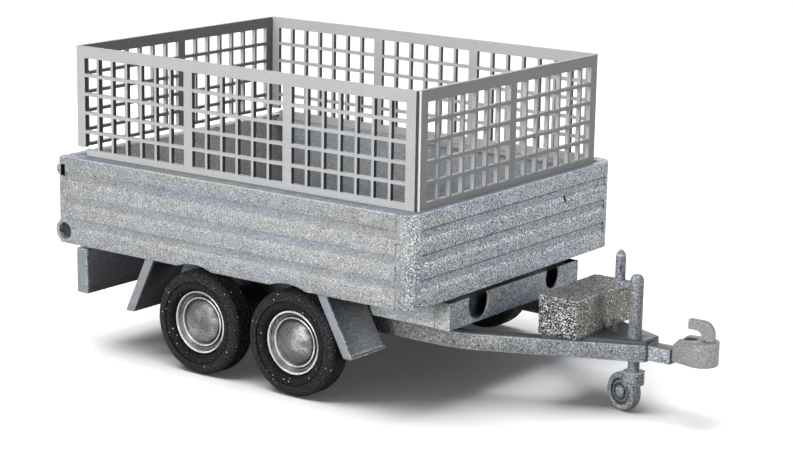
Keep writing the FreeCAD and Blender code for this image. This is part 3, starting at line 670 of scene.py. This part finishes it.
def make_materials():
    """Colours are those of faces that look along Y, X and up, lit and shaded copies of each paint that
    hold painted light and shade; three contrasts of the grain follow them.
    """
    # Painted shade on faces that look up
    flaked("box_grey", cool(0.4), cool(0.42, 0.035), cool(0.33, 0.09), (0.48, 0.95, 0.35), BOX_MM)
    # Painted highlight on the rim's rounded edge and on rounded edges
    flaked("box_edge_highlight", cool(0.66), cool(0.6), cool(0.64), (0.2, 0.5, 0.2), BOX_MM)
    # Painted shade on the groove floors and around the hinge hole
    flaked("box_groove_shade", cool(0.36, 0.045), cool(0.36, 0.05), cool(0.33, 0.08), (0.36, 0.8, 0.3), BOX_MM)
    # Pale painted highlight on the lips below the grooves
    flaked("box_lip_highlight", grey(0.43, (1.0, 0.995, 0.975)), cool(0.5), cool(0.45), (0.42, 1.0, 0.3), BOX_MM)
    # Painted shading on the creases above the grooves, dark on faces that look along X
    flaked("box_crease_shading", cool(0.45, 0.06), cool(0.08, 0.06), cool(0.3, 0.06), (0.4, 1.3, 0.3), BOX_MM)
    flaked("box_inside", cool(0.47, 0.04), grey(0.29, (1.0, 0.995, 0.975)), cool(0.33), (0.24, 0.3, 0.2))
    # Painted shade on faces that look along X and up
    flaked("chassis_grey", cool(0.29), cool(0.18, 0.05), cool(0.12, 0.07), (0.65, 0.6, 0.3), PART_MM)
    # Painted highlight on rounded edges
    flaked("chassis_edge_highlight", cool(0.44), cool(0.32, 0.03), cool(0.26, 0.05), (0.36, 0.42, 0.4), PART_MM)
    # Painted shade on the frame rails and axle beams under the box
    flaked("chassis_shade", cool(0.16, 0.05), cool(0.06, 0.05), cool(0.1, 0.08), (0.4, 0.4, 0.3))
    # Painted light on faces that look along Y, which stand in the wall's overhanging shade; painted shade
    # on faces that look along X and up
    flaked("skirt_lit_and_shaded", cool(0.68, 0.035), cool(0.27, 0.06), cool(0.2, 0.06), (0.34, 0.6, 0.3), PART_MM,
           clouds=0.08, patches=0.16)
    # Painted shade on faces that look along X
    flaked("board_grey", cool(0.38, 0.06), cool(0.1, 0.0), cool(0.3, 0.05), (0.12, 0.5, 0.3), PART_MM)
    # Painted highlight on the light board's edges, the front flap's lips and the drawbar nose's sides
    flaked("board_highlight", cool(0.44, 0.05), cool(0.36, 0.04), cool(0.4, 0.04), (0.6, 1.0, 0.5), PART_MM)
    # Painted shading for the light board and the flap behind the wheels, lifted on faces that look along X
    # where they stand in shade
    flaked("board_rear_shading", cool(0.34, 0.06), grey(0.26, (1.0, 0.93, 1.06)), cool(0.3, 0.05),
           (0.12, 0.3, 0.3), PART_MM)
    # Painted shade on the drawbar plate
    flaked("plate_shade", cool(0.09, 0.08), cool(0.1, 0.08), cool(0.055, 0.08), (0.3, 0.3, 0.3))
    flaked("fitting_grey", cool(0.31, 0.04), cool(0.18, 0.04), cool(0.36), (0.62, 0.62, 0.4), PART_MM)
    # Painted highlight on rounded edges
    flaked("fitting_edge_highlight", cool(0.55), cool(0.4), cool(0.6), (0.3, 0.3, 0.3), PART_MM)
    # Painted shade in recesses: the coupling's cup and the jockey wheel's sunken disc
    flaked("fitting_recess_shade", cool(0.07, 0.04), cool(0.07, 0.04), cool(0.09), (0.6, 0.6, 0.6))
    # Painted shade in holes, slots and the bolster's openings
    flaked("fitting_hollow_shade", cool(0.03, 0.06), cool(0.04, 0.04), cool(0.04), (0.5, 0.5, 0.4))
    flaked("coupling_grey", grey(0.36), grey(0.32), grey(0.28), (0.26, 0.26, 0.3), PART_MM, clouds=0.03)
    # Cage greys: painted light on faces that look along Y, painted shade on faces that look along X
    smooth_grey("mesh_grey", grey(0.55), grey(0.21), grey(0.43))
    smooth_grey("mesh_shade", grey(0.57), grey(0.21, (1.0, 0.985, 0.97)), grey(0.33))
    # Painted shade on the rear panel's faces that look along X
    smooth_grey("mesh_rear_shade", grey(0.57), grey(0.1), grey(0.33))
    # Painted highlight on the reveals of the end panels' holes
    smooth_grey("mesh_reveal_highlight", grey(0.98), grey(0.21), grey(0.4))
    # Painted shade on the side panels' faces that look along X
    smooth_grey("mesh_deep_shade", grey(0.09), grey(0.05), grey(0.2))
    coarse_silver("tool_box_grey")
    rim_paint("rim_silver", (0.09, 0.18, 0.36), scuffs=2.2, wear=0.8)
    # Painted highlight on the flange and the inner ring
    rim_paint("rim_highlight", (0.42, 0.66, 0.88), scuffs=1.3)
    rim_paint("rim_slope", (0.08, 0.15, 0.25), scuffs=2.0)
    # Painted shade in the channels and on the disc's back
    rim_paint("rim_groove_shade", (0.012, 0.02, 0.04), scuffs=1.2)
    tyre_black("tyre_black", 0.62)
    # Painted shade on the tyre's bead and inner sidewall
    tyre_black("tyre_inner_shade", 0.32)
    drawn_steel("axle_steel")


# Mesh helpers; meshes are made in millimetres and turned into metres at the end

def welded(name):
    bm = bmesh.new()
    bm.from_mesh(NODES[name].data)
    bmesh.ops.scale(bm, vec=(1 / MM, 1 / MM, 1 / MM), verts=bm.verts)
    bmesh.ops.remove_doubles(bm, verts=bm.verts, dist=WELD_MM)
    bmesh.ops.dissolve_limit(bm, angle_limit=FLAT_ANGLE, verts=bm.verts, edges=bm.edges)
    return bm


def add_piece(bm, name, node, materials):
    """Makes the piece that stands for a CAD node, on the node's body and with the given materials."""
    mesh = bpy.data.meshes.new(name)
    bm.to_mesh(mesh)
    bm.free()
    piece = bpy.data.objects.new(name, mesh)
    bpy.context.scene.collection.objects.link(piece)
    for key in materials:
        mesh.materials.append(MATERIALS[key])
    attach(piece, BODY_OF[node])
    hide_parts(node)
    return piece


def settle(piece):
    """Applies the piece's modifiers, and turns its mesh from millimetres into metres."""
    bpy.context.view_layer.update()
    depsgraph = bpy.context.evaluated_depsgraph_get()
    mesh = bpy.data.meshes.new_from_object(piece.evaluated_get(depsgraph), depsgraph=depsgraph)
    piece.modifiers.clear()
    piece.data = mesh
    mesh.transform(Matrix.Scale(MM, 4))
    mesh.update()


def round_edges(piece, width, segments=2, edge_material=-1, limit="ANGLE"):
    """Rounds the sharp edges, in the material of the faces beside them unless edge_material is given."""
    for face in piece.data.polygons:
        face.use_smooth = True
    bevel = piece.modifiers.new("edges", "BEVEL")
    bevel.width = width
    bevel.segments = segments
    bevel.limit_method = limit
    bevel.angle_limit = EDGE_ANGLE
    bevel.use_clamp_overlap = False
    bevel.harden_normals = True
    bevel.material = edge_material
    settle(piece)


def moulded(node, width, materials, segments=2, paint=None, keeps_sharp=None):
    """A node's own shape with rounded edges; paint gives each face's material from its middle and normal.

    keeps_sharp says by an edge's middle that it stays sharp, as beside a wall too thin to round.
    """
    bm = welded(node)
    weight = bm.edges.layers.float.new("bevel_weight_edge")
    for edge in bm.edges:
        middle = (edge.verts[0].co + edge.verts[1].co) / 2
        sharp = len(edge.link_faces) == 2 and edge.calc_face_angle() > EDGE_ANGLE
        kept = sharp and keeps_sharp is not None and keeps_sharp(middle)
        edge[weight] = 1.0 if sharp and not kept else 0.0
        edge.smooth = not kept
    piece = add_piece(bm, node + "_moulding", node, materials)
    # Rounded edges take the second material, a painted highlight wherever it is lighter than the first
    edge_material = 1 if len(materials) > 1 and not paint else -1
    round_edges(piece, width, segments, edge_material, "WEIGHT")
    if paint:
        for face in piece.data.polygons:
            face.material_index = materials.index(paint(face.center / MM, face.normal))


# Box, chassis and fittings

BOX_PAINTS = ("box_grey", "box_edge_highlight", "box_groove_shade", "box_lip_highlight", "box_crease_shading", "box_inside", "fitting_hollow_shade")

# Each wall's axis and the sign of the way that its outer face looks
WALLS = {
    "side_wall_right": (1, -1), "side_wall_left": (1, 1),
    "front_wall": (0, 1), "tailgate": (0, -1),
}


def make_box():
    for node, (axis, sign) in WALLS.items():
        moulded(node, WALL_EDGE, BOX_PAINTS, 2, box_paint(node, axis, sign), by_latch_slot)
    # Painted highlight on the floor's rounded edges
    moulded("bed_floor", WALL_EDGE, ("box_grey", "box_edge_highlight"))


def box_mm(node):
    return [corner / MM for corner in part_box(node)]


def hinge_place():
    joints = frame["record"]["behaviour"]["joints"]
    return Vector(next(j["pos_m"] for j in joints if j["name"] == "tailgate_hinge")) / MM


def box_paint(node, axis, sign):
    """Painted shading on the creases above each groove, darkest on the front wall and tailgate, painted
    shade on the blue-grey groove floors and painted highlights on the pale lips below; painted shade in
    the hinge hole and the slots, and a painted highlight on the rim's edge.
    """
    pivot = hinge_place()
    low, high = box_mm(node)
    rim_z = box_mm("front_wall")[1].z
    outer = high[axis] if sign > 0 else -low[axis]
    hinge_y = box_mm("side_wall_left")[1].y - HINGE_DEPTH

    def paint(middle, normal):
        depth = outer - sign * middle[axis]
        from_pivot = math.hypot(middle.x - pivot.x, middle.z - pivot.z)
        if from_pivot < HINGE_HOLE_R and abs(middle.y) > hinge_y:
            # Painted shade in the hinge hole
            return "fitting_hollow_shade" if abs(normal.y) > STRAIGHT else "box_groove_shade"
        if depth > SLOT_SKIN and in_slot(middle, axis):
            # Painted shade in the slots
            return "fitting_hollow_shade"
        if middle.z > rim_z - RIM_EDGE:
            # Painted highlight on the rim's rounded top edge
            turned = RIM_TURN[0] < normal.z < RIM_TURN[1]
            return "box_edge_highlight" if turned and depth < GROOVE_REACH else "box_grey"
        if sign * normal[axis] < INWARD or (axis == 1 and abs(normal.x) > STRAIGHT):
            return "box_inside"
        if depth > GROOVE_REACH or middle.z < GROOVE_LOWEST:
            return "box_grey"
        # Painted highlight on upward lips, painted shading on downward creases, painted shade on groove
        # floors
        if abs(normal.z) > SLOPING:
            return "box_lip_highlight" if normal.z > 0 else "box_crease_shading"
        return "box_groove_shade" if depth > GROOVE_SKIN and abs(normal[axis]) > STRAIGHT else "box_grey"

    return paint


def by_latch_slot(middle):
    (_, z0), (x1, z1) = LATCH_SLOT
    in_height = z0 - LATCH_MARGIN < middle.z < z1 + LATCH_MARGIN
    return in_height and middle.x < x1 + LATCH_MARGIN and abs(middle.y) > SLOT_BACK_Y


def in_slot(middle, axis):
    (u0, z0), (u1, z1) = FRONT_SLOT if axis == 0 else LATCH_SLOT
    return u0 < middle[1 - axis] < u1 and z0 < middle.z < z1


# The face and edge materials of the chassis pieces whose names begin so; the last are for all others
# Painted shade on the rails, axle beams and drawbar plate, painted light on the skirts, painted highlights
# on edges
CHASSIS_PAINTS = {
    "light_board": ("board_rear_shading", "board_highlight"), "frame_skirt": ("skirt_lit_and_shaded", "skirt_lit_and_shaded"),
    "drawbar_plate": ("plate_shade", "plate_shade"), "frame_rail": ("chassis_shade", "chassis_shade"),
    "axle_beam": ("chassis_shade", "chassis_shade"), "": ("chassis_grey", "chassis_edge_highlight"),
}


def make_chassis():
    for node in sorted(n for n in NODES if SLOT_OF[n] == "chassis_grey"):
        if node == "front_bolster":
            moulded(node, BOLSTER_EDGE, ("skirt_lit_and_shaded", "fitting_hollow_shade"), 2, bolster_paint)
        elif node.startswith("mudguard"):
            moulded(node, CHASSIS_EDGE, ("board_grey", "board_highlight", "board_rear_shading"), 2, guard_paint)
        elif node == "drawbar_head":
            moulded(node, CHASSIS_EDGE, ("chassis_grey", "chassis_edge_highlight", "board_highlight"), 2, head_paint)
        else:
            width = BOARD_EDGE if node == "light_board" else CHASSIS_EDGE
            moulded(node, width, next(CHASSIS_PAINTS[k] for k in CHASSIS_PAINTS if node.startswith(k)))


def guard_paint(middle, normal):
    """Painted highlights on the front flap's outer edge and foot, and the flap behind the wheels in its
    own painted shading, darker on faces that look along Y and lighter on those that look along X.
    """
    low, high = box_mm("mudguard_right")
    # Painted shading on the flap behind the wheels
    if middle.x < (low.x + high.x) / 2:
        return "board_rear_shading"
    # Painted highlight on the front flap's lips
    on_lip = abs(middle.y) > -low.y - GUARD_LIP_W or middle.z < low.z + GUARD_LIP_W
    shown = normal.x > GUARD_BACK and abs(normal.y) < STRAIGHT
    return "board_highlight" if on_lip and shown else "board_grey"


def head_paint(middle, normal):
    """The square nose's sides are lighter than the head behind it, as a painted highlight, and every edge
    has a painted highlight.
    """
    if HEAD_TURN[0] < abs(normal.z) < HEAD_TURN[1]:
        return "chassis_edge_highlight"
    # Painted highlight on the nose's sides
    nose = middle.x > box_mm("drawbar_plate")[1].x + NOSE_GAP
    return "board_highlight" if nose and abs(normal.y) > STRAIGHT else "chassis_grey"


def bolster_paint(middle, normal):
    """Painted shade inside the front bolster's two openings, which are dark."""
    low, high = box_mm("front_bolster")
    inside = low.x + BOLSTER_WALL < middle.x < high.x - BOLSTER_WALL and middle.z > low.z + BOLSTER_WALL
    return "fitting_hollow_shade" if inside and abs(middle.y) < high.y - BOLSTER_WALL else "skirt_lit_and_shaded"


def make_fittings():
    for node in ("jockey_post", "jockey_crank", "jockey_fork"):
        # Rounded edges take a painted highlight
        moulded(node, JOCKEY_EDGE, ("fitting_grey", "fitting_edge_highlight"))
    moulded("coupling_lever", FITTING_EDGE, ("coupling_grey",), 3)
    moulded("coupling_head", FITTING_EDGE, ("coupling_grey", "fitting_recess_shade"), 3, cup_paint)


def cup_paint(middle, normal):
    """Painted shade inside the cup in the coupling's top, which is darker."""
    top = box_mm("coupling_head")[1].z
    in_cup = math.hypot(middle.x - CUP_X, middle.y) < CUP_R and middle.z < top - FITTING_EDGE
    return "fitting_recess_shade" if in_cup and middle.z > top - CUP_DEPTH else "coupling_grey"


# Mesh cage

def cell_lines(bm, axis):
    return sorted({round(v.co[axis], DIGITS) for v in bm.verts})


def panel_grid(node, across):
    """A cage panel as a clean grid of bars; across is the axis its bars run along, besides Z."""
    source = welded(node)
    lines_u, lines_z = cell_lines(source, across), cell_lines(source, 2)
    through = 1 - across
    low, high = cell_lines(source, through)[0], cell_lines(source, through)[-1]
    tree = BVHTree.FromBMesh(source)
    bm = bmesh.new()
    corners = {}

    def corner(i, j):
        if (i, j) not in corners:
            place = [0.0, 0.0, lines_z[j]]
            place[across] = lines_u[i]
            place[through] = low
            corners[i, j] = bm.verts.new(place)
        return corners[i, j]

    towards = Vector((0, 0, 0))
    towards[through] = 1.0
    for i in range(len(lines_u) - 1):
        for j in range(len(lines_z) - 1):
            middle = Vector((0, 0, (lines_z[j] + lines_z[j + 1]) / 2))
            middle[across] = (lines_u[i] + lines_u[i + 1]) / 2
            middle[through] = low - PROBE_MM
            if tree.ray_cast(middle, towards, 2 * PROBE_MM)[0] is not None:
                bm.faces.new([corner(i, j), corner(i + 1, j), corner(i + 1, j + 1), corner(i, j + 1)])
    source.free()
    grown = bmesh.ops.extrude_face_region(bm, geom=bm.faces[:])
    moved = [g for g in grown["geom"] if isinstance(g, bmesh.types.BMVert)]
    bmesh.ops.translate(bm, verts=moved, vec=towards * (high - low))
    bmesh.ops.recalc_face_normals(bm, faces=bm.faces)
    return bm


def make_cage():
    for node in ("mesh_side_right", "mesh_side_left"):
        cage_panel(node, 0, ("mesh_grey", "mesh_deep_shade"))
    cage_panel("mesh_front", 1, ("mesh_grey", "mesh_shade", "mesh_reveal_highlight"))
    cage_panel("mesh_rear", 1, ("mesh_grey", "mesh_rear_shade", "mesh_reveal_highlight"))


def cage_panel(node, across, materials):
    piece = add_piece(panel_grid(node, across), node + "_lattice", node, materials)
    round_edges(piece, CAGE_EDGE)
    for face in piece.data.polygons:
        # Painted shade on faces that look along X, and a painted highlight on the end panels' faces that
        # look along Y
        if abs(face.normal.x) > ALONG:
            face.material_index = 1
        elif across == 1 and abs(face.normal.y) > ALONG:
            face.material_index = 2


# Wheels

def arc(r, y, radius, start, end, steps=ARC_STEPS):
    turns = [math.radians(start + (end - start) * k / steps) for k in range(steps + 1)]
    return [(r + radius * math.cos(t), y + radius * math.sin(t)) for t in turns]


def lathe(profile, centre, side, steps=WHEEL_STEPS, notched_r=math.inf):
    """A ring of the profile's (radius, depth, material) points, turned about a wheel's axle along Y.

    Points as far out as notched_r are drawn in at every few steps, as a tread's cross grooves are.
    """
    bm = bmesh.new()
    x, face_y, z = centre
    rings = []
    for r, depth, _ in profile:
        y = face_y - side * depth
        if r < AXIS_R:
            rings.append([bm.verts.new((x, y, z))] * steps)
            continue
        ring = []
        for k in range(steps):
            t = 2 * math.pi * k / steps
            notched = r >= notched_r and k % STEPS_PER_NOTCH == 0
            reach = r - TREAD_NOTCH_DEPTH if notched else r
            ring.append(bm.verts.new((x + reach * math.cos(t), y, z + reach * math.sin(t))))
        rings.append(ring)
    for a, b, (_, _, material) in zip(rings, rings[1:] + rings[:1], profile):
        for k in range(steps):
            n = (k + 1) % steps
            corners = list(dict.fromkeys([a[k], a[n], b[n], b[k]]))
            if len(corners) > 2:
                bm.faces.new(corners).material_index = material
    bmesh.ops.recalc_face_normals(bm, faces=bm.faces)
    return bm


def turned_piece(bm, name, node, materials):
    piece = add_piece(bm, name, node, materials)
    piece.data.shade_smooth()
    piece.data.set_sharp_from_angle(angle=TURNED_ANGLE)
    settle(piece)


def wheel_place(tyre_node, side):
    low, high = box_mm(tyre_node)
    middle = (low + high) / 2
    face_y = high.y if side > 0 else low.y
    return (middle.x, face_y, middle.z), (high.x - low.x) / 2, high.y - low.y


def marked(points, material):
    return [(r, depth, material) for r, depth in points]


def tyre_profile(radius, width):
    """The bead around the hole, a ring drawn into the sidewall, round shoulders and a grooved tread; the
    bead and the sidewall out to the drawn ring take painted shade.
    """
    s, bead, slope = TYRE_SHOULDER, TYRE_BEAD_DEPTH, TYRE_RING_SLOPE
    ring_in, ring_out = TYRE_RING_R - TYRE_RING_W / 2, TYRE_RING_R + TYRE_RING_W / 2
    step_r, step_depth = TYRE_BEAD_STEP
    inner = [(TYRE_HOLE_R, TYRE_HOLE_DEPTH), (TYRE_HOLE_R + step_r, bead + step_depth)]
    inner += [(TYRE_HOLE_R + TYRE_BEAD_W, bead), (ring_in, bead)]
    inner += [(ring_in + slope, TYRE_RING_DEPTH), (ring_out - slope, TYRE_RING_DEPTH)]
    profile = [(ring_out, 0.0)] + arc(radius - s, s, s, -90, 0)
    pitch = (width - 2 * s) / TREAD_GROOVES
    for k in range(TREAD_GROOVES):
        y = s + (k + 0.5) * pitch
        w = TREAD_GROOVE_W / 2
        bottom = radius - TREAD_GROOVE_DEPTH
        floor_w = TREAD_FLOOR * w
        profile += [(radius, y - w), (bottom, y - floor_w), (bottom, y + floor_w), (radius, y + w)]
    profile += arc(radius - s, width - s, s, 0, 90)
    profile += [(TYRE_HOLE_R + TYRE_BACK_W, width), (TYRE_HOLE_R, width)]
    return marked(inner, 1) + marked(profile, 0)


RIM_PAINTS = ("rim_silver", "rim_highlight", "rim_groove_shade", "rim_slope")


def rim_profile():
    """Bright flange with a painted highlight, a slope and a ring between three narrow channels, and the
    dome in the middle; the ring takes the painted highlight too, and the channels and the disc's back take
    painted shade.
    """
    back_r = TYRE_HOLE_R - RIM_STEP
    dish, channel = RIM_FACE + DISH_DEPTH, RIM_FACE + DISH_DEPTH + CHANNEL_DEPTH
    flange, ring = FLANGE_W / 2, INNER_RING_W / 2
    slope_r, foot_r = FLANGE_R - FLANGE_W - CHANNEL_W, INNER_RING_R + CHANNEL_W
    profile = marked([(0.0, RIM_BACK), (back_r, RIM_BACK), (back_r, RIM_FACE + RIM_WALL_DEPTH)], 2)
    profile += marked(arc(FLANGE_R - flange, RIM_FACE + flange, flange, 20, -180, FLANGE_STEPS), 1)
    profile += marked([(FLANGE_R - FLANGE_W - RIM_STEP, channel), (slope_r, channel)], 2)
    profile += marked([(slope_r - RIM_STEP, dish - SLOPE_H), (foot_r, dish)], 3)
    profile += marked([(foot_r - RIM_STEP, channel), (INNER_RING_R + RIM_STEP / 2, channel)], 2)
    profile += marked(arc(INNER_RING_R - ring, dish - INNER_RING_H, ring, 0, -180), 1)
    profile += marked([(INNER_RING_R - INNER_RING_W, channel), (DOME_R + RIM_STEP, channel)], 2)
    rise = [math.radians(90 * k / DOME_STEPS) for k in range(DOME_STEPS + 1)]
    dome = [(DOME_R * math.cos(t), dish - DOME_H * math.sin(t) ** DOME_SHAPE) for t in rise]
    return profile + marked(dome, 0)


def make_wheels():
    for end in ("front", "rear"):
        for name, side in (("right", -1), ("left", 1)):
            tyre, rim = "tyre_%s_%s" % (end, name), "rim_%s_%s" % (end, name)
            centre, radius, width = wheel_place(tyre, side)
            notched_r = radius - TREAD_NOTCH_MARGIN
            rubber = lathe(tyre_profile(radius, width), centre, side, TYRE_STEPS, notched_r)
            turned_piece(rubber, tyre + "_rubber", tyre, ("tyre_black", "tyre_inner_shade"))
            turned_piece(lathe(rim_profile(), centre, side), rim + "_disc", rim, RIM_PAINTS)
        rod = NODES["axle_rod_" + end].data
        rod.materials.clear()
        rod.materials.append(MATERIALS["axle_steel"])


def jockey_axis():
    """The direction that the jockey wheel's widest flat face looks in, on its near side."""
    areas = {}
    for face in NODES["jockey_wheel"].data.polygons:
        key = tuple(round(c, DIGITS) for c in face.normal)
        areas[key] = areas.get(key, 0) + face.area
    flat = max((k for k in areas if k[1] < 0), key=areas.get)
    return Vector(flat).normalized()


def jockey_profile(radius, width):
    """A hub and a raised ring on a sunken disc, inside a round rim; the hub's side, the sunken disc and
    the ring's inner slope take painted shade.
    """
    e, d, step = JOCKEY_ROUND, JOCKEY_DEPTH, JOCKEY_STEP
    hub, ring, disc = JOCKEY_HUB_R, JOCKEY_RING_R, JOCKEY_DISC_R
    top = d - JOCKEY_RING_H
    profile = marked([(JOCKEY_PIN_R, width), (JOCKEY_PIN_R, step), (hub - step, JOCKEY_HUB_TOP)], 0)
    profile += marked([(hub, JOCKEY_HUB_SIDE), (hub + JOCKEY_HUB_SLOPE, d)], 1)
    profile += marked([(ring - JOCKEY_RING_FOOT, d)], 1)
    profile += marked([(ring - JOCKEY_RING_TOP, top), (ring + JOCKEY_RING_TOP, top)], 0)
    profile += marked([(ring + JOCKEY_RING_FOOT, d), (disc - step, d)], 1)
    profile += marked([(disc, step), (disc + JOCKEY_RIM_W, 0.0)], 0)
    profile += marked(arc(radius - e, e, e, -90, 0), 0)
    profile += marked(arc(radius - e, width - e, e, 0, 90), 0)
    return profile


def make_jockey_wheel():
    axis = jockey_axis()
    spots = [v.co / MM for v in NODES["jockey_wheel"].data.vertices]
    along = [s.dot(axis) for s in spots]
    low, high = box_mm("jockey_wheel")
    middle, radius = (low + high) / 2, (high.z - low.z) / 2
    width = max(along) - min(along)
    bm = lathe(jockey_profile(radius, width), (0, -width / 2, 0), -1)
    turn = Vector((0, -1, 0)).rotation_difference(axis)
    bmesh.ops.rotate(bm, verts=bm.verts, matrix=turn.to_matrix())
    bmesh.ops.translate(bm, verts=bm.verts, vec=middle)
    turned_piece(bm, "jockey_wheel_turned", "jockey_wheel", ("fitting_grey", "fitting_recess_shade"))


# Toolbox

def make_tool_box():
    """A rounded box with a slightly wider lid, rough all over as its casting is."""
    low, high = box_mm("tool_box")
    rise = GRAIN_HEIGHT + LID_OUT
    low, high = low + Vector((1, 1, 0)) * rise, high - Vector((rise, rise, GRAIN_HEIGHT))
    middle, half = (low + high) / 2, (high - low) / 2
    core = Vector(h - TOOL_BOX_ROUND for h in half)
    bm = bmesh.new()
    for axis in range(3):
        for sign in (-1, 1):
            box_side(bm, axis, sign, half)
    bmesh.ops.remove_doubles(bm, verts=bm.verts, dist=WELD_MM)
    for v in bm.verts:
        inner = Vector(max(-c, min(c, q)) for c, q in zip(core, v.co))
        normal = (v.co - inner).normalized()
        surface = inner + normal * TOOL_BOX_ROUND
        if normal.z < 0:
            v.co = middle + Vector((surface.x, surface.y, -half.z))
            continue
        lid = max(0.0, min(1.0, (surface.z - half.z + LID_H) / GRAIN_STEP))
        surface += Vector((normal.x, normal.y, 0)) * LID_OUT * lid
        spot = (surface + middle) / GRAIN_SIZE
        lump = noise.noise(spot) + FINE_GRAIN_SHARE * noise.noise(spot * FINE_GRAIN_SCALE)
        v.co = middle + surface + normal * GRAIN_HEIGHT * max(-1.0, min(1.0, lump * GRAIN_GAIN))
    bmesh.ops.recalc_face_normals(bm, faces=bm.faces)
    piece = add_piece(bm, "tool_box_casting", "tool_box", ("tool_box_grey",))
    piece.data.shade_smooth()
    settle(piece)


def box_side(bm, axis, sign, half):
    """One side of the toolbox as a fine grid, which its grain is then raised from."""
    a, b = [k for k in range(3) if k != axis]
    steps_a, steps_b = (max(2, round(2 * half[k] / GRAIN_STEP)) for k in (a, b))
    grid = []
    for i in range(steps_a + 1):
        row = []
        for j in range(steps_b + 1):
            place = [0.0, 0.0, 0.0]
            place[axis] = sign * half[axis]
            place[a] = -half[a] + 2 * half[a] * i / steps_a
            place[b] = -half[b] + 2 * half[b] * j / steps_b
            row.append(bm.verts.new(place))
        grid.append(row)
    for i in range(steps_a):
        for j in range(steps_b):
            bm.faces.new([grid[i][j], grid[i + 1][j], grid[i + 1][j + 1], grid[i][j + 1]])


make_materials()
make_camera()
make_lights(make_floor())
make_world()
make_box()
make_cage()
make_chassis()
make_wheels()
make_fittings()
make_jockey_wheel()
make_tool_box()
bpy.context.scene.view_settings.view_transform = "Standard"
